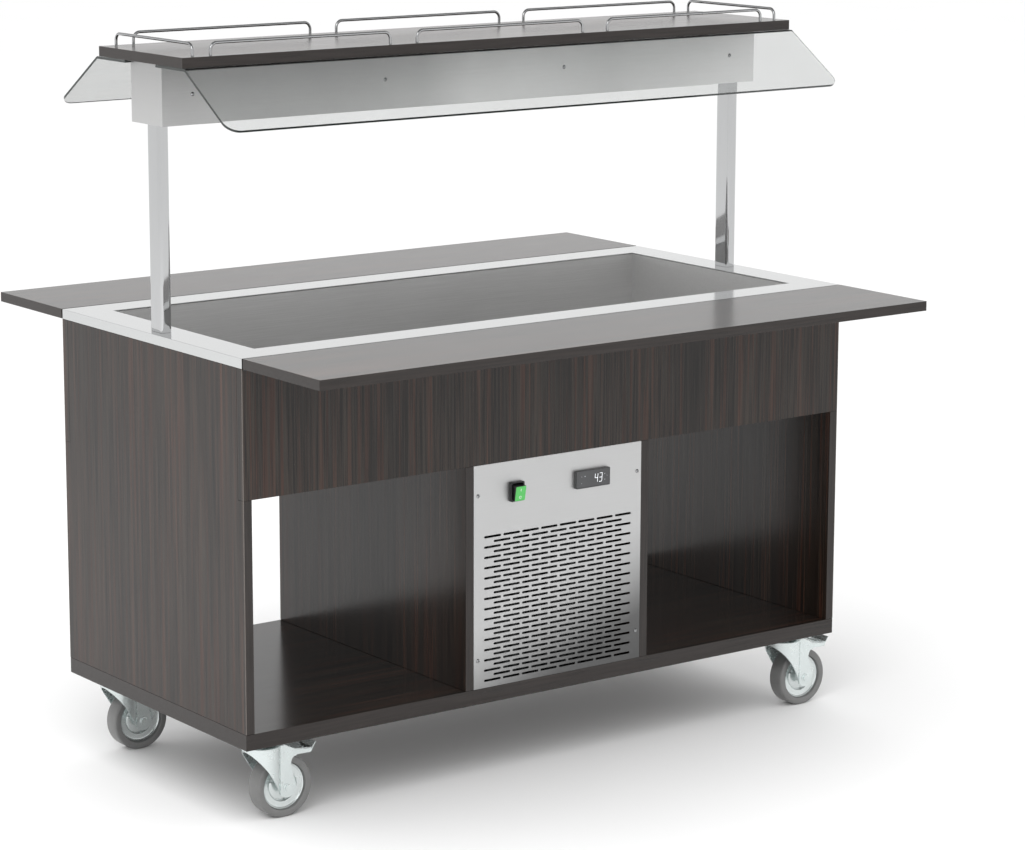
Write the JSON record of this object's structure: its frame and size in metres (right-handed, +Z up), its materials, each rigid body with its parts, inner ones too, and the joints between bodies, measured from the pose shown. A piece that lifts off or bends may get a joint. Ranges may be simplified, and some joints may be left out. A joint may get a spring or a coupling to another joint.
{
  "type": "mobile salad bar",
  "caption": "Mobile refrigerated salad bar: dark board cabinet on braked swivel casters, chilled steel well, drop-leaf tray shelves, and a canopy with sneeze glass on two posts.",
  "frame": {"origin": "on the floor, under the centre of the worktop", "axes": "+X along the cart's length, from the viewer's left end to the right end; -Y towards the side with the grille and controls; +Z up"},
  "size_m": [1.5355, 1.224, 1.5111],
  "materials": {
    "wenge_board": "satin",
    "brushed_stainless": "satin",
    "polished_stainless": "polished",
    "zinc_plate": "satin",
    "clear_glass": "polished",
    "grey_tyre": "matte",
    "foam": "matte",
    "black_plastic": "satin",
    "green_plastic": "gloss",
    "dark_plastic": "gloss",
    "black_enamel": "satin",
    "aluminium_fin": "satin",
    "fan_plastic": "matte",
    "opal_plastic": "satin"
  },
  "bodies": {
    "cart": {"base_panel": "wenge_board", "side_panel_left": "wenge_board", "side_panel_right": "wenge_board", "front_apron": "wenge_board", "rear_apron": "wenge_board", "divider_left": "wenge_board", "divider_right": "wenge_board", "bay_ceiling": "wenge_board", "worktop": "brushed_stainless", "well_tub": "brushed_stainless", "well_insulation": "foam", "grille_panel": "brushed_stainless", "rear_vent_panel": "brushed_stainless", "switch_housing": "black_plastic", "thermostat": "dark_plastic", "compressor": "black_enamel", "condenser": "aluminium_fin", "post_left": "polished_stainless", "post_right": "polished_stainless", "canopy_beam": "brushed_stainless", "light_diffuser": "opal_plastic", "glass_front": "clear_glass", "glass_rear": "clear_glass", "canopy_board": "wenge_board", "rail_front_1": "polished_stainless", "rail_front_2": "polished_stainless", "rail_front_3": "polished_stainless", "rail_rear_1": "polished_stainless", "rail_rear_2": "polished_stainless", "rail_rear_3": "polished_stainless", "rail_left": "polished_stainless", "rail_right": "polished_stainless", "hinge_rail_front": "brushed_stainless", "hinge_rail_rear": "brushed_stainless", "caster_plate_front_left": "zinc_plate", "caster_plate_front_right": "zinc_plate", "caster_plate_rear_left": "zinc_plate", "caster_plate_rear_right": "zinc_plate"},
    "fan_rotor": {"fan": "fan_plastic"},
    "rocker": {"switch_rocker": "green_plastic"},
    "shelf_leaf_front": {"shelf_front": "wenge_board", "shelf_frame_front": "brushed_stainless"},
    "shelf_leaf_rear": {"shelf_rear": "wenge_board", "shelf_frame_rear": "brushed_stainless"},
    "swivel_front_left": {"caster_fork_front_left": "zinc_plate"},
    "wheel_front_left": {"wheel_rim_front_left": "zinc_plate", "tyre_front_left": "grey_tyre"},
    "pedal_front_left": {"brake_pedal_front_left": "zinc_plate"},
    "swivel_front_right": {"caster_fork_front_right": "zinc_plate"},
    "wheel_front_right": {"wheel_rim_front_right": "zinc_plate", "tyre_front_right": "grey_tyre"},
    "pedal_front_right": {"brake_pedal_front_right": "zinc_plate"},
    "swivel_rear_left": {"caster_fork_rear_left": "zinc_plate"},
    "wheel_rear_left": {"wheel_rim_rear_left": "zinc_plate", "tyre_rear_left": "grey_tyre"},
    "pedal_rear_left": {"brake_pedal_rear_left": "zinc_plate"},
    "swivel_rear_right": {"caster_fork_rear_right": "zinc_plate"},
    "wheel_rear_right": {"wheel_rim_rear_right": "zinc_plate", "tyre_rear_right": "grey_tyre"},
    "pedal_rear_right": {"brake_pedal_rear_right": "zinc_plate"}
  },
  "joints": [
    {"name": "shelf_front_fold", "type": "hinge", "parent": "cart", "child": "shelf_leaf_front", "pos_m": [0, -0.375, 0.888], "axis": [1, 0, 0], "range_deg": [0, 90]},
    {"name": "shelf_rear_fold", "type": "hinge", "parent": "cart", "child": "shelf_leaf_rear", "pos_m": [0, 0.375, 0.888], "axis": [-1, 0, 0], "range_deg": [0, 90]},
    {"name": "switch_rock", "type": "hinge", "parent": "cart", "child": "rocker", "pos_m": [-0.109, -0.348, 0.595], "axis": [-1, 0, 0], "range_deg": [0, 20]},
    {"name": "fan_spin", "type": "hinge", "parent": "cart", "child": "fan_rotor", "pos_m": [0, -0.212, 0.35], "axis": [0, 1, 0], "continuous": true},
    {"name": "swivel_front_left_turn", "type": "hinge", "parent": "cart", "child": "swivel_front_left", "pos_m": [-0.671, -0.278, 0.146], "axis": [0, 0, 1], "continuous": true},
    {"name": "wheel_front_left_spin", "type": "hinge", "parent": "swivel_front_left", "child": "wheel_front_left", "pos_m": [-0.633, -0.278, 0.0625], "axis": [0, 1, 0], "continuous": true},
    {"name": "pedal_front_left_press", "type": "hinge", "parent": "swivel_front_left", "child": "pedal_front_left", "pos_m": [-0.637, -0.278, 0.133], "axis": [0, 1, 0], "range_deg": [0, 14]},
    {"name": "swivel_front_right_turn", "type": "hinge", "parent": "cart", "child": "swivel_front_right", "pos_m": [0.671, -0.278, 0.146], "axis": [0, 0, 1], "continuous": true},
    {"name": "wheel_front_right_spin", "type": "hinge", "parent": "swivel_front_right", "child": "wheel_front_right", "pos_m": [0.709, -0.278, 0.0625], "axis": [0, 1, 0], "continuous": true},
    {"name": "pedal_front_right_press", "type": "hinge", "parent": "swivel_front_right", "child": "pedal_front_right", "pos_m": [0.705, -0.278, 0.133], "axis": [0, 1, 0], "range_deg": [0, 14]},
    {"name": "swivel_rear_left_turn", "type": "hinge", "parent": "cart", "child": "swivel_rear_left", "pos_m": [-0.671, 0.278, 0.146], "axis": [0, 0, 1], "continuous": true},
    {"name": "wheel_rear_left_spin", "type": "hinge", "parent": "swivel_rear_left", "child": "wheel_rear_left", "pos_m": [-0.633, 0.278, 0.0625], "axis": [0, 1, 0], "continuous": true},
    {"name": "pedal_rear_left_press", "type": "hinge", "parent": "swivel_rear_left", "child": "pedal_rear_left", "pos_m": [-0.637, 0.278, 0.133], "axis": [0, 1, 0], "range_deg": [0, 14]},
    {"name": "swivel_rear_right_turn", "type": "hinge", "parent": "cart", "child": "swivel_rear_right", "pos_m": [0.671, 0.278, 0.146], "axis": [0, 0, 1], "continuous": true},
    {"name": "wheel_rear_right_spin", "type": "hinge", "parent": "swivel_rear_right", "child": "wheel_rear_right", "pos_m": [0.709, 0.278, 0.0625], "axis": [0, 1, 0], "continuous": true},
    {"name": "pedal_rear_right_press", "type": "hinge", "parent": "swivel_rear_right", "child": "pedal_rear_right", "pos_m": [0.705, 0.278, 0.133], "axis": [0, 1, 0], "range_deg": [0, 14]}
  ]
}
